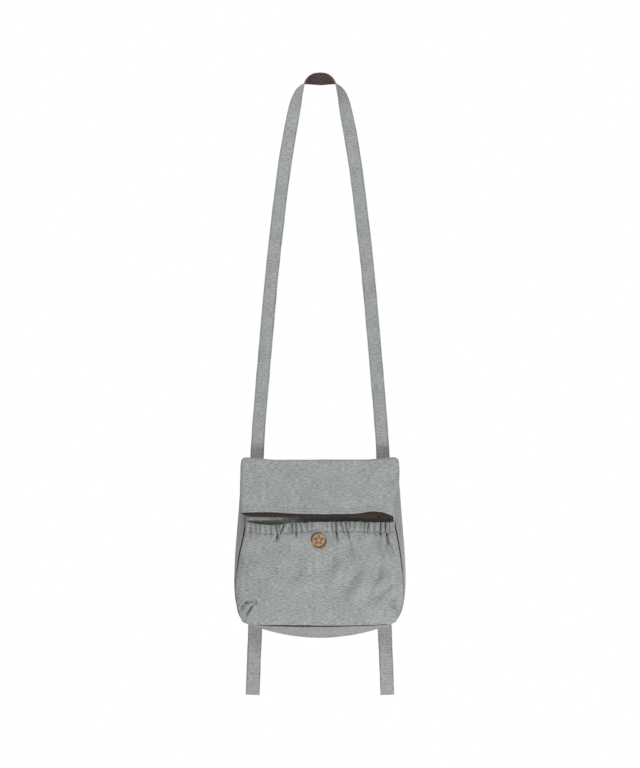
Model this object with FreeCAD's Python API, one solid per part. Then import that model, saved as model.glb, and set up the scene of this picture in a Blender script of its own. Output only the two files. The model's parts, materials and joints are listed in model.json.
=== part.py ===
"""Child's soft doll carrier: a flat jersey pouch with a printed cotton lining.

The top of the pouch is turned down over its front as a cuff. A gathered, elasticated pocket with a
wooden star button is sewn on the front. One long neck strap is sewn to the back panel at both ends,
and two short waist tails hang from the lower corners, with a hook patch and a loop patch behind them.

Frame: millimetres, +Z up, +X to the right of someone who looks at the front, front towards -Y.
The origin is where the carrier hangs: the lower edge of the strap, at the middle of its top.
Each cloth layer is a solid of its own. Cloth that crosses a joint is cut there into two nodes.
"""

import FreeCAD
import Part
import math
import os

V = FreeCAD.Vector

# ---- driving dimensions -------------------------------------------------------------------------
JERSEY = 1.2                # outer cloth, grey jersey
LINING = 0.6                # printed cotton lining
WALL = JERSEY + LINING

STRAP_WIDTH = 20.0
STRAP_LAYER = 1.2           # the strap is one layer of jersey on one of lining and seam allowance
STRAP_DROP = 558.0          # from the hanging point down to the top of the fold
STRAP_SPREAD = 189.0        # between the two legs where they meet the pouch
STRAP_SEWN = 34.0           # length of each strap end that is sewn to the back panel

MOUTH_GAP = 7.0             # room between the two linings at the fold and in the cuff
FOLD_CLEARANCE = 1.0        # from the fold's axis to the front panel, and to the cuff before it
CUFF_WIDTH = 238.0
CUFF_DROP = 85.0            # from the fold's top to the hem of the cuff's near layer
CUFF_RIM_DROP = 5.5         # the far layer's rim hangs this much lower than the hem
CUFF_EASE = 0.4             # the cuff is this much thinner than the fold, to open clear of the strap

BAG_WIDTH = 259.0
BAG_DROP = 271.5            # from the fold's top to the lowest point of the back panel
BAG_DEPTH = 26.0            # from the back panel's face to the front panel's, behind the pocket
LEAN_DEPTH = 160.0          # the front leans out over this height below the fold

CASING_TOP = 99.5           # from the fold's top to the mouth of the pocket
CASING_HEIGHT = 15.0
CASING_SEAM = 1.5
ELASTIC_HEIGHT = 10.0
ELASTIC_THICKNESS = 0.8
LAYER_EASE = 0.05           # between the elastic and the cloth of its casing

BUTTON_RADIUS = 9.8
BUTTON_THICKNESS = 3.0
BUTTON_EDGE = 0.7
BUTTON_DROP = 123.5         # from the fold's top to the button's centre
BUTTON_X = -2.0
BUTTON_HOLE_RADIUS = 1.0
BUTTON_HOLE_PITCH = 4.6
STAR_RADIUS = 7.6
STAR_INNER = 0.42           # inner radius of the star over its outer radius
STAR_GROOVE = 0.7
STAR_DEPTH = 0.35
THREAD_RADIUS = 0.45

TAIL_WIDTH = 21.0
TAIL_LENGTH = 92.5          # from the line it swings about to its end
TAIL_FLARE = 3.5            # each tail leans out by this much at its end
TAIL_X = 97.5
TAIL_SEWN = 42.0
PATCH_LENGTH = 28.0
PATCH_WIDTH = 16.0
PATCH_THICKNESS = 1.4
PATCH_MARGIN = 2.5          # from the patch to the end of its tail
HINGE_GAP = 1.8             # from each swing line to the cloth above and below it

# ---- places that follow from them ----------------------------------------------------------------
ROLL_RADIUS = FOLD_CLEARANCE + 2 * WALL + MOUTH_GAP
BACK_Y = -STRAP_LAYER
FOLD_Y = BACK_Y - ROLL_RADIUS
FRONT_TOP_Y = FOLD_Y + FOLD_CLEARANCE
FRONT_Y = BACK_Y - BAG_DEPTH
FOLD_TOP_Z = -STRAP_DROP
FOLD_Z = FOLD_TOP_Z - ROLL_RADIUS
BOTTOM_Z = FOLD_TOP_Z - BAG_DROP
LEAN = math.degrees(math.atan2(FRONT_TOP_Y - FRONT_Y, LEAN_DEPTH))
STRAP_HINGE_Z = FOLD_TOP_Z + STRAP_LAYER + 0.4
TAIL_HINGE_Z = BOTTOM_Z + 7.5
FAR = 400.0                 # larger than the pouch in every direction

X_AXIS = V(1, 0, 0)
Y_AXIS = V(0, 1, 0)


def save(name, *shapes):
    """Writes one node, a group of separate solids."""
    solids = [solid for shape in shapes for solid in shape.Solids]
    assert solids, name
    for solid in solids:
        assert solid.isValid() and solid.Volume > 0, name
    whole = solids[0] if len(solids) == 1 else Part.makeCompound(solids)
    whole.exportStep(os.path.join("parts", name + ".step"))
    volume = sum(solid.Volume for solid in solids) / 1000
    print(f"{name:24s} {len(solids)} solid(s) {volume:8.2f} cm3")


def block(x0, x1, y0, y1, z0, z1):
    return Part.makeBox(x1 - x0, y1 - y0, z1 - z0, V(x0, y0, z0))


def prism(outline, axis):
    """A long prism along X or Y over an outline of (y, z) or (x, z) points, centred on zero."""
    if axis == "X":
        points = [V(-FAR, y, z) for y, z in outline]
        along = V(2 * FAR, 0, 0)
    else:
        points = [V(x, -FAR, z) for x, z in outline]
        along = V(0, 2 * FAR, 0)
    return Part.Face(Part.makePolygon(points + points[:1])).extrude(along)


def mirrored(shape):
    return shape.mirror(V(0, 0, 0), X_AXIS)


# ---- the pouch -----------------------------------------------------------------------------------
# The right half of each outline from the fold down: the start and middle of each arc in turn, and
# last the middle of the bottom arc. Half width, height below the fold's axis.
BACK_SIDE = [
    (119.5, 0.0),
    (122.6, 43.0),
    (124.6, 88.0),
    (128.1, 132.0),
    (BAG_WIDTH / 2, 176.0),
    (125.0, 213.0),
    (108.0, 238.0),
    (0.0, FOLD_Z - BOTTOM_Z),
]
FRONT_SIDE = [
    (CUFF_WIDTH / 2, 0.0),
    (112.8, 46.0),
    (110.0, 88.0),
    (118.2, 130.0),
    (125.3, 180.0),
    (120.0, 218.0),
    (96.0, 236.0),
    (0.0, 241.0),
]


def pouch_outline(y, side):
    """The closed outline of the pouch in the plane y, running on above the fold."""
    right = [V(side[0][0], y, FOLD_Z + 2 * ROLL_RADIUS)]
    right += [V(x, y, FOLD_Z - drop) for x, drop in side]
    left = [V(-p.x, p.y, p.z) for p in right]
    last = len(right) - 2
    edges = [Part.LineSegment(left[0], right[0]), Part.LineSegment(right[0], right[1])]
    edges += [Part.Arc(*right[i:i + 3]) for i in range(1, last, 2)]
    edges.append(Part.Arc(right[last], right[-1], left[last]))
    edges += [Part.Arc(left[i], left[i - 1], left[i - 2]) for i in range(last, 1, -2)]
    edges.append(Part.LineSegment(left[1], left[0]))
    return Part.Wire([edge.toShape() for edge in edges])


def pouch_volume(inset):
    """The space inside the pouch's side and bottom walls, taken in by inset."""
    wires = [pouch_outline(BACK_Y, BACK_SIDE), pouch_outline(FRONT_Y, FRONT_SIDE)]
    if inset:
        wires = [wire.makeOffset2D(-inset) for wire in wires]
    return Part.makeLoft(wires, True, True)


def behind_front(depth):
    """All space behind a surface that lies depth inside the front panel's face."""
    sag = depth / math.cos(math.radians(LEAN))
    slope = (FRONT_TOP_Y - FRONT_Y) / LEAN_DEPTH
    outline = [
        (FRONT_TOP_Y + sag + slope * FAR, FOLD_Z + FAR),
        (FRONT_Y + sag, FOLD_Z - LEAN_DEPTH),
        (FRONT_Y + sag, FOLD_Z - FAR),
        (FAR, FOLD_Z - FAR),
        (FAR, FOLD_Z + FAR),
    ]
    return prism(outline, "X")


def front_face_y(z):
    """Where the front panel's outer face lies at height z."""
    return FRONT_TOP_Y + (FRONT_Y - FRONT_TOP_Y) * min(1.0, (FOLD_Z - z) / LEAN_DEPTH)


def below_fold(y0, y1):
    return block(-FAR, FAR, y0, y1, FOLD_Z - FAR, FOLD_Z)


def pouch_layer(inset, thickness):
    """One cloth layer of the pouch: its back, its front, and the gusset between them."""
    outer = pouch_volume(inset)
    inner = pouch_volume(inset + thickness)
    y_out = BACK_Y - inset
    y_in = y_out - thickness
    behind_outer = behind_front(inset)
    behind_inner = behind_front(inset + thickness)
    back = outer.common(below_fold(y_in, y_out))
    front = outer.common(behind_outer.cut(behind_inner)).common(below_fold(-FAR, y_in))
    gusset = outer.cut(inner).common(behind_inner).common(below_fold(-FAR, y_in))
    return back, front, gusset


# ---- the pocket ----------------------------------------------------------------------------------
# Level below the fold's top, half width at the seam, bulge in front of the front panel.
POCKET_LEVELS = [
    (CASING_TOP - 12.0, 109.6, 9.0),
    (CASING_TOP, 109.8, 9.4),
    (120.0, 113.4, 10.0),
    (141.0, 117.8, 11.0),
    (165.0, 122.3, 12.0),
    (191.0, 125.0, 12.5),
    (212.0, 124.0, 12.5),
    (229.0, 119.8, 11.0),
    (241.0, 110.0, 8.0),
    (248.5, 95.0, 3.6),
]


def pocket_volume(inset):
    """The space that the pocket encloses in front of the front panel, taken in by inset."""
    wires = []
    for drop, half_width, bulge in POCKET_LEVELS:
        is_bottom = drop == POCKET_LEVELS[-1][0]
        z = FOLD_TOP_Z - drop + (inset if is_bottom else 0.0)
        y = front_face_y(z)
        w = half_width - inset
        left, right = V(-w, y, z), V(w, y, z)
        rear_left, rear_right = V(-w, y + WALL, z), V(w, y + WALL, z)
        edges = [
            Part.Arc(left, V(0, y - bulge + inset, z), right),
            Part.LineSegment(right, rear_right),
            Part.LineSegment(rear_right, rear_left),
            Part.LineSegment(rear_left, left),
        ]
        wires.append(Part.Wire([edge.toShape() for edge in edges]))
    return Part.makeLoft(wires, True, True)


def pocket_band(inset, thickness, drop, height):
    """A band of cloth that follows the pocket, inset behind its face."""
    z = FOLD_TOP_Z - drop
    band = pocket_volume(inset).cut(pocket_volume(inset + thickness))
    return band.common(block(-FAR, FAR, -FAR, FAR, z - height, z)).cut(behind_front(0.0))


def pocket():
    """The gathered pocket, with its hem turned in as a casing, and the elastic in the casing."""
    channel = ELASTIC_THICKNESS + 2 * LAYER_EASE
    cloth = pocket_band(0.0, JERSEY, CASING_TOP, FAR)
    turned_in = pocket_band(JERSEY + channel, JERSEY, CASING_TOP, CASING_HEIGHT)
    seam_drop = CASING_TOP + CASING_HEIGHT - CASING_SEAM
    seam = pocket_band(JERSEY, channel, seam_drop, CASING_SEAM)
    elastic = pocket_band(JERSEY + LAYER_EASE, ELASTIC_THICKNESS, CASING_TOP + 2.0, ELASTIC_HEIGHT)
    return cloth.fuse([turned_in, seam]), elastic


# ---- the button ----------------------------------------------------------------------------------
def star(radius, y, depth):
    """A five-pointed star on the front of the button, one point up."""
    points = []
    for i in range(10):
        r = radius * (STAR_INNER if i % 2 else 1.0)
        angle = math.radians(90 + 36 * i)
        points.append(V(BUTTON_X + r * math.cos(angle), y,
                        FOLD_TOP_Z - BUTTON_DROP + r * math.sin(angle)))
    return Part.Face(Part.makePolygon(points + points[:1])).extrude(V(0, depth, 0))


def button():
    """A round two-hole wooden button with an engraved star, and the thread that crosses it."""
    z = FOLD_TOP_Z - BUTTON_DROP
    ahead = pocket_volume(0.0).common(block(-1, 1, -FAR, FAR, z - BUTTON_RADIUS, z + BUTTON_RADIUS))
    front_y = ahead.BoundBox.YMin - 0.1 - BUTTON_THICKNESS
    disc = Part.makeCylinder(BUTTON_RADIUS, BUTTON_THICKNESS, V(BUTTON_X, front_y, z), Y_AXIS)
    rim = [edge for edge in disc.Edges if len(edge.Vertexes) == 1]
    disc = disc.makeFillet(BUTTON_EDGE, rim)
    disc = disc.cut(star(STAR_RADIUS, front_y, STAR_DEPTH)
                    .cut(star(STAR_RADIUS - 2 * STAR_GROOVE, front_y, STAR_DEPTH)))
    bar_y = front_y - THREAD_RADIUS - 0.02
    half_pitch = BUTTON_HOLE_PITCH / 2
    thread = Part.makeCylinder(THREAD_RADIUS, BUTTON_HOLE_PITCH,
                               V(BUTTON_X - half_pitch, bar_y, z), X_AXIS)
    for x in (BUTTON_X - half_pitch, BUTTON_X + half_pitch):
        hole = Part.makeCylinder(BUTTON_HOLE_RADIUS, FAR, V(x, front_y - FAR / 2, z), Y_AXIS)
        disc = disc.cut(hole)
        leg = Part.makeCylinder(THREAD_RADIUS, BUTTON_THICKNESS, V(x, bar_y, z), Y_AXIS)
        thread = thread.fuse(leg)
        thread = thread.fuse(Part.makeSphere(THREAD_RADIUS, V(x, bar_y, z)))
    return disc, thread


# ---- the fold and the cuff -----------------------------------------------------------------------
def tube_section(near, far, inset, width):
    """A level face across the flattened tube, from y near to y far, with rounded ends."""
    y0, y1 = near + inset, far - inset
    middle = (y0 + y1) / 2
    half = width / 2 - inset
    flat = half - (y1 - y0) / 2
    edges = [
        Part.LineSegment(V(-flat, y0, FOLD_Z), V(flat, y0, FOLD_Z)),
        Part.Arc(V(flat, y0, FOLD_Z), V(half, middle, FOLD_Z), V(flat, y1, FOLD_Z)),
        Part.LineSegment(V(flat, y1, FOLD_Z), V(-flat, y1, FOLD_Z)),
        Part.Arc(V(-flat, y1, FOLD_Z), V(-half, middle, FOLD_Z), V(-flat, y0, FOLD_Z)),
    ]
    return Part.Face(Part.Wire([edge.toShape() for edge in edges]))


def fold_roll(inset, thickness):
    """The cloth that bends over the fold, from the pouch to the cuff."""
    near, far = FOLD_Y + FOLD_CLEARANCE, BACK_Y
    outer = tube_section(near, far, inset, CUFF_WIDTH)
    inner = tube_section(near, far, inset + thickness, CUFF_WIDTH)
    return outer.cut(inner).revolve(V(0, FOLD_Y, FOLD_Z), X_AXIS, 180.0 - LEAN - 1.0)


def cuff(inset, thickness):
    """One layer of the cuff, a flattened tube that hangs from the fold and leans on the pouch."""
    near = FOLD_Y - ROLL_RADIUS + CUFF_EASE
    far = FOLD_Y - FOLD_CLEARANCE
    height = FOLD_Z - FOLD_TOP_Z + CUFF_DROP + CUFF_RIM_DROP
    outer = tube_section(near, far, inset, CUFF_WIDTH)
    inner = tube_section(near, far, inset + thickness, CUFF_WIDTH)
    tube = outer.cut(inner).extrude(V(0, 0, -height))
    rim_z = FOLD_Z - height
    hem_z = rim_z + CUFF_RIM_DROP
    tube = tube.cut(prism([(far, rim_z), (near, hem_z), (near, rim_z - 1), (far, rim_z - 1)], "X"))
    tube.rotate(V(0, FOLD_Y, FOLD_Z), X_AXIS, -LEAN)
    return tube


# ---- the strap -----------------------------------------------------------------------------------
# The left half's middle line from its swing line up to the strap's middle: x, z, and how far the
# grey face has turned from the front, over the outside, towards the back, in degrees.
STRAP_LINE = [
    (-STRAP_SPREAD / 2, STRAP_HINGE_Z + HINGE_GAP, 0.0),
    (-91.0, -502.5, 0.0),
    (-81.0, -382.5, 0.0),
    (-70.0, -262.5, 0.0),
    (-56.0, -142.5, 0.0),
    (-46.5, -79.5, 4.0),
    (-38.6, -37.5, 22.0),
    (-34.5, -19.5, 41.0),
    (-29.8, -7.5, 60.0),
    (-24.0, 1.5, 88.0),
    (-16.5, 6.3, 122.0),
    (-8.5, 8.9, 148.0),
    (0.0, 9.4, 160.0),
]
STRAP_STEPS = 3             # ruled pieces between one point of the line and the next


def strap_stations():
    """(middle, direction across to the leg's inner edge, direction out of the grey face), from the
    left swing line up to the strap's middle."""
    rows = [V(x, 0, z) for x, z, turn in STRAP_LINE]
    curve = Part.BSplineCurve()
    curve.interpolate(Points=rows, FinalTangent=X_AXIS, InitialTangent=V(0.06, 0, 1.0))
    at = [curve.parameter(row) for row in rows]
    stations = []
    for i in range(len(rows) - 1):
        for step in range(STRAP_STEPS):
            share = step / STRAP_STEPS
            t = at[i] + (at[i + 1] - at[i]) * share
            turn = STRAP_LINE[i][2] + (STRAP_LINE[i + 1][2] - STRAP_LINE[i][2]) * share
            stations.append((curve.value(t), curve.tangent(t)[0], turn))
    stations.append((rows[-1], X_AXIS, STRAP_LINE[-1][2]))
    stations[0] = (stations[0][0], V(0, 0, 1), 0.0)
    framed = []
    for middle, along, turn in stations:
        normal = FreeCAD.Rotation(along, -turn).multVec(V(0, -1, 0))
        framed.append((middle, along.cross(normal), normal))
    return framed


def strap_layer(low, high):
    """The whole strap between two distances out of the grey face's side of its middle plane."""
    left = strap_stations()
    right = [[V(-v.x, v.y, v.z) for v in station] for station in reversed(left[:-1])]
    wires = []
    for middle, across, normal in left + right:
        half = across * (STRAP_WIDTH / 2)
        corners = [middle - half + normal * high, middle + half + normal * high,
                   middle + half + normal * low, middle - half + normal * low]
        wires.append(Part.makePolygon(corners + corners[:1]))
    return Part.makeLoft(wires, True, True)


def strap_sewn(y0, y1):
    """The left strap end that is sewn to the back panel."""
    x = STRAP_SPREAD / 2
    top = STRAP_HINGE_Z - HINGE_GAP
    return block(-x - STRAP_WIDTH / 2, -x + STRAP_WIDTH / 2, y0, y1, top - STRAP_SEWN, top)


# ---- the waist tails -----------------------------------------------------------------------------
def tail(y0, y1, width, start, end):
    """A piece of the left tail between two distances along it from the line it swings about."""
    half = width / 2
    lean = TAIL_FLARE / TAIL_LENGTH
    middle_start = -TAIL_X - lean * start
    middle_end = -TAIL_X - lean * end
    outline = [
        (middle_start - half, TAIL_HINGE_Z - start),
        (middle_start + half, TAIL_HINGE_Z - start),
        (middle_end + half, TAIL_HINGE_Z - end),
        (middle_end - half, TAIL_HINGE_Z - end),
    ]
    return prism(outline, "Y").common(block(-FAR, FAR, y0, y1, -3 * FAR, 0))


def tail_patch():
    """The fastening patch behind the end of the left tail."""
    end = TAIL_LENGTH - PATCH_MARGIN
    return tail(STRAP_LAYER, STRAP_LAYER + PATCH_THICKNESS, PATCH_WIDTH, end - PATCH_LENGTH, end)


def main():
    os.makedirs("parts", exist_ok=True)

    back, front, gusset = pouch_layer(0.0, JERSEY)
    save("back_panel", back)
    save("front_panel", front)
    save("side_gusset", gusset)
    back, front, gusset = pouch_layer(JERSEY, LINING)
    save("back_lining", back)
    save("front_lining", front)
    save("gusset_lining", gusset)

    cloth, elastic = pocket()
    save("front_pocket", cloth)
    save("pocket_elastic", elastic)
    disc, thread = button()
    save("star_button", disc)
    save("button_thread", thread)

    save("fold_roll", fold_roll(0.0, JERSEY))
    save("fold_roll_lining", fold_roll(JERSEY, LINING))
    save("cuff_shell", cuff(0.0, JERSEY))
    save("cuff_lining", cuff(JERSEY, LINING))

    save("strap_face", strap_layer(0.0, STRAP_LAYER))
    save("strap_lining", strap_layer(-STRAP_LAYER, 0.0))
    for name, y0, y1 in (("face", -STRAP_LAYER, 0.0), ("lining", 0.0, STRAP_LAYER)):
        end = strap_sewn(y0, y1)
        save("strap_sewn_" + name, end, mirrored(end))
        end = tail(y0, y1, TAIL_WIDTH, -HINGE_GAP - TAIL_SEWN, -HINGE_GAP)
        save("tail_sewn_" + name, end, mirrored(end))
        end = tail(y0, y1, TAIL_WIDTH, HINGE_GAP, TAIL_LENGTH)
        save("left_tail_" + name, end)
        save("right_tail_" + name, mirrored(end))
    save("left_hook_patch", tail_patch())
    save("right_loop_patch", mirrored(tail_patch()))


main()
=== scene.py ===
"""The cloth, stitching, button and studio of a child's soft doll carrier, made around its CAD frame.

Lengths in this file are in millimetres, in the frame's own axes: +X to the right of someone who looks
at the front, the front towards -Y, +Z up, and the origin at the top of the neck strap. They turn into
metres where a mesh is made. "drop" is always the distance below the axis of the fold.
"""

import json
import math

import bpy
import numpy as np
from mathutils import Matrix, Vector


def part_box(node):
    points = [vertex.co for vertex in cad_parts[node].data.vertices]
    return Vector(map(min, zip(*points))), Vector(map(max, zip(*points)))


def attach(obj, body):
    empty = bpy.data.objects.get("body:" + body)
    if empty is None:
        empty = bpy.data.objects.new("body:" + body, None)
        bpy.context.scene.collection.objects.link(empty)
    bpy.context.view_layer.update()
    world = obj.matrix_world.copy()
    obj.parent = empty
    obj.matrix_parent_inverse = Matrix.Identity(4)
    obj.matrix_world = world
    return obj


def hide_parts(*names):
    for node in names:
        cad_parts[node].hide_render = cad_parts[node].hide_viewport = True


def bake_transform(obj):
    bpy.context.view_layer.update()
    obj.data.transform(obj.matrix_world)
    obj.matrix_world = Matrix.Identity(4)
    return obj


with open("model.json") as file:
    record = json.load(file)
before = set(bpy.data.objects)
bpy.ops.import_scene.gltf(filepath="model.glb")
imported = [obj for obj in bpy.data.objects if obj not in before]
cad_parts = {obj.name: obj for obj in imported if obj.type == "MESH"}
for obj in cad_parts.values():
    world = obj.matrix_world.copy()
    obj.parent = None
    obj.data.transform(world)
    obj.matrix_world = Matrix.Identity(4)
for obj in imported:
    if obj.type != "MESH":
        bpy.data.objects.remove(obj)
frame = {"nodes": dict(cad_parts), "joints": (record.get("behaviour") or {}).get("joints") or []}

bl_info = {
    "name": "Doll carrier",
    "version": (1, 0, 0),
    "blender": (4, 5, 0),
    "location": "3D View > Sidebar > Carrier",
    "description": "Makes a soft doll carrier in grey jersey with a dotted cotton lining",
    "category": "Add Mesh",
}

MM = 0.001


# ---- places from the frame -----------------------------------------------------------------------
def node_box(node):
    """The lowest and highest corner of a CAD node, in millimetres."""
    low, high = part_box(node)
    return np.array(low) / MM, np.array(high) / MM


JOINT = {joint["name"]: np.array(joint["pos_m"]) / MM for joint in frame["joints"]}
BACK_LOW, BACK_HIGH = node_box("back_panel")
FRONT_LOW, FRONT_HIGH = node_box("front_panel")
LINING_LOW, LINING_HIGH = node_box("back_lining")
BUTTON_LOW, BUTTON_HIGH = node_box("star_button")
STRAP_SEWN_LOW, STRAP_SEWN_HIGH = node_box("strap_sewn_face")
TAIL_SEWN_HIGH = node_box("tail_sewn_face")[1]
TAIL_LOW, TAIL_HIGH = node_box("right_tail_face")

JERSEY = BACK_HIGH[1] - BACK_LOW[1]
LINING = LINING_HIGH[1] - LINING_LOW[1]
BACK_Y = BACK_HIGH[1]
FRONT_Y = FRONT_LOW[1]
FRONT_TOP_Y = FRONT_HIGH[1] - JERSEY
FOLD_Y, FOLD_Z = JOINT["cuff_fold"][1:]
ROLL = node_box("fold_roll")[1][2] - FOLD_Z     # outer radius of the fold
CLEARANCE = FRONT_TOP_Y - FOLD_Y                # from the fold's axis to the cloth on either side of it
LEAN_DEPTH = 160.0                              # the front leans out over this height below the fold
LEAN = (FRONT_TOP_Y - FRONT_Y) / LEAN_DEPTH
STRAP_HINGE_Z = JOINT["bag_swing"][2]
TAIL_HINGE_Z = JOINT["left_tail_swing"][2]
BUTTON_X, BUTTON_Z = ((BUTTON_LOW + BUTTON_HIGH) / 2)[[0, 2]]
BUTTON_RADIUS = (BUTTON_HIGH[0] - BUTTON_LOW[0]) / 2
STAR_POINT, STAR_NOTCH = 7.6, 3.2               # radii of the engraved star's points and notches


# ---- smooth lines and noise ----------------------------------------------------------------------
def smooth_line(points, count):
    """Points of a smooth line through the given ones, equally spaced in the points' own numbering."""
    p = np.array(points, float)
    padded = np.vstack([2 * p[0] - p[1], p, 2 * p[-1] - p[-2]])
    at = np.linspace(0, len(p) - 1, count)
    i = np.minimum(at.astype(int), len(p) - 2)
    t = (at - i)[:, None]
    a, b, c, d = (padded[i + k] for k in range(4))
    return 0.5 * (2 * b + (c - a) * t + (2 * a - 5 * b + 4 * c - d) * t**2
                  + (3 * b - a - 3 * c + d) * t**3)


def lengths_along(line):
    """Each point's distance along the line."""
    return np.concatenate([[0], np.cumsum(np.linalg.norm(np.diff(line, axis=0), axis=1))])


def even_line(points, count):
    """Points of the smooth line through the given ones, at equal distances along it."""
    fine = smooth_line(points, 40 * len(points))
    along = lengths_along(fine)
    at = np.linspace(0, along[-1], count)
    return np.stack([np.interp(at, along, fine[:, k]) for k in range(fine.shape[1])], axis=1)


def smooth_value(x, points):
    """The smooth curve through (x, value) points, read at x."""
    fine = smooth_line(points, 30 * len(points))
    return np.interp(x, fine[:, 0], fine[:, 1])


def step(x, low, high):
    """0 below low, 1 above high and smooth between."""
    t = np.clip((np.asarray(x, float) - low) / (high - low), 0, 1)
    return t * t * (3 - 2 * t)


def bell(x, middle, width):
    """1 at the middle, fading to either side."""
    return np.exp(-(((x - middle) / width) ** 2))


def cloth_noise(x, y, size, seed):
    """Smooth noise of about -1 to 1, with bumps of the given size."""
    lattice = np.random.RandomState(seed).uniform(-1, 1, (64, 64))
    u, v = np.asarray(x) / size + 31.7, np.asarray(y) / size + 17.3
    i, j = np.floor(u).astype(int), np.floor(v).astype(int)
    s, t = u - i, v - j
    s, t = s * s * (3 - 2 * s), t * t * (3 - 2 * t)
    a, b = lattice[i % 64, j % 64], lattice[(i + 1) % 64, j % 64]
    c, d = lattice[i % 64, (j + 1) % 64], lattice[(i + 1) % 64, (j + 1) % 64]
    return (a * (1 - s) + b * s) * (1 - t) + (c * (1 - s) + d * s) * t


def crease(x, drop, start, end, width, depth):
    """A fold of the cloth from start to end: a groove with a soft ridge on each side."""
    (x0, d0), (x1, d1) = start, end
    dx, dd = x1 - x0, d1 - d0
    length = math.hypot(dx, dd)
    along = ((x - x0) * dx + (drop - d0) * dd) / length
    off = ((x - x0) * dd - (drop - d0) * dx) / length / width
    fade = step(along, -0.2 * length, 0.15 * length) * (1 - step(along, 0.55 * length, 1.1 * length))
    ridges = np.exp(-((abs(off) - 1.9) ** 2)) * 0.42
    return (ridges - np.exp(-off * off)) * depth * fade


# ---- meshes --------------------------------------------------------------------------------------
def grid_quads(nu, nv, closed=False):
    """The faces of a grid of nu by nv points; closed says that the first direction runs round."""
    number = np.arange(nu * nv).reshape(nu, nv)
    ahead = np.roll(number, -1, 0) if closed else number[1:]
    here = number if closed else number[:-1]
    quads = np.stack([here[:, :-1], ahead[:, :-1], ahead[:, 1:], here[:, 1:]], -1)
    return quads.reshape(-1, 4)


def unit(v):
    return v / np.maximum(np.linalg.norm(v, axis=-1, keepdims=True), 1e-9)


def point_normals(points, quads):
    """A unit normal at each point of a mesh of quads."""
    corner = points[quads]
    face = np.cross(corner[:, 2] - corner[:, 0], corner[:, 3] - corner[:, 1])
    normals = np.zeros_like(points)
    for k in range(4):
        np.add.at(normals, quads[:, k], face)
    return unit(normals)


def read_line(grid, heights):
    """The points and normals of a grid where each of its lines along the second direction passes the
    height given for it."""
    nu, nv = grid.shape[:2]
    normals = point_normals(grid.reshape(-1, 3), grid_quads(nu, nv)).reshape(nu, nv, 3)
    line, out = [], []
    for u in range(nu):
        z = grid[u, :, 2]
        order = np.argsort(z)
        line.append([np.interp(heights[u], z[order], grid[u, order, k]) for k in range(3)])
        out.append([np.interp(heights[u], z[order], normals[u, order, k]) for k in range(3)])
    return np.array(line), unit(np.array(out))


class Cloth:
    """Collects the points and faces of one piece. Its pattern holds each point's place on the cloth it
    was cut from, in millimetres: first along the rows of the knit or weave, then across them."""

    def __init__(self):
        self.points, self.quads, self.pattern, self.count = [], [], [], 0

    def add(self, points, quads, pattern):
        self.points.append(np.reshape(points, (-1, 3)))
        self.quads.append(np.asarray(quads) + self.count)
        self.pattern.append(np.reshape(pattern, (-1, 2)))
        self.count += len(self.points[-1])

    def thicken(self, points, quads, pattern, thickness, edge=0.35):
        """Adds a closed cloth whose outer face is this surface. Its open edges are rounded."""
        points, pattern = np.reshape(points, (-1, 3)), np.reshape(pattern, (-1, 2))
        total = len(points)
        normals = point_normals(points, quads)
        inner = points - normals * np.reshape(np.broadcast_to(thickness, total), (-1, 1))
        sides = np.concatenate([quads[:, [k, (k + 1) % 4]] for k in range(4)])
        keys = sides[:, 0] * total + sides[:, 1]
        back = sides[:, 1] * total + sides[:, 0]
        rim = sides[~np.isin(keys, back)]
        border, place = np.unique(rim, return_inverse=True)
        place = place.reshape(-1, 2)
        ahead = np.zeros((len(border), 3))
        for k in range(2):
            np.add.at(ahead, place[:, k], unit(points[rim[:, 1]] - points[rim[:, 0]]))
        out = unit(np.cross(ahead, normals[border]))
        wide = np.linalg.norm(points[border] - inner[border], axis=1, keepdims=True)
        middle = (points[border] + inner[border]) / 2 + out * wide * edge
        a, b = rim[:, 0], rim[:, 1]
        ma, mb = place[:, 0] + 2 * total, place[:, 1] + 2 * total
        faces = [quads, quads[:, ::-1] + total, np.stack([b, a, ma, mb], 1),
                 np.stack([mb, ma, a + total, b + total], 1)]
        self.add(np.vstack([points, inner, middle]), np.concatenate(faces),
                 np.vstack([pattern, pattern, pattern[border]]))

    def sheet(self, grid, pattern, thickness, closed=False, edge=0.35):
        """Adds a closed cloth whose outer face is a grid of points. Along the grid's first direction,
        along its second and out of the face are right-handed."""
        quads = grid_quads(*grid.shape[:2], closed)
        self.thicken(grid, quads, np.broadcast_to(pattern, grid.shape[:2] + (2,)),
                     np.ravel(thickness) if np.ndim(thickness) else thickness, edge)

    def make(self, name, finish, slot=None):
        points = np.vstack(self.points) * MM
        quads = np.concatenate(self.quads).astype(np.int32)
        mesh = bpy.data.meshes.new(name)
        mesh.vertices.add(len(points))
        mesh.vertices.foreach_set("co", points.astype(np.float32).ravel())
        mesh.loops.add(quads.size)
        mesh.loops.foreach_set("vertex_index", quads.ravel())
        mesh.polygons.add(len(quads))
        mesh.polygons.foreach_set("loop_start", np.arange(0, quads.size, 4, dtype=np.int32))
        mesh.update(calc_edges=True)
        attribute = mesh.attributes.new("cloth", "FLOAT_VECTOR", "POINT")
        flat = np.zeros((self.count, 3), np.float32)
        flat[:, :2] = np.vstack(self.pattern)
        attribute.data.foreach_set("vector", flat.ravel())
        if mesh.validate():
            raise RuntimeError(name + " has faulty faces")
        mesh.shade_smooth()
        mesh.materials.append(finish_material(finish))
        piece = bpy.data.objects.new(name, mesh)
        bpy.context.scene.collection.objects.link(piece)
        return piece


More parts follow.
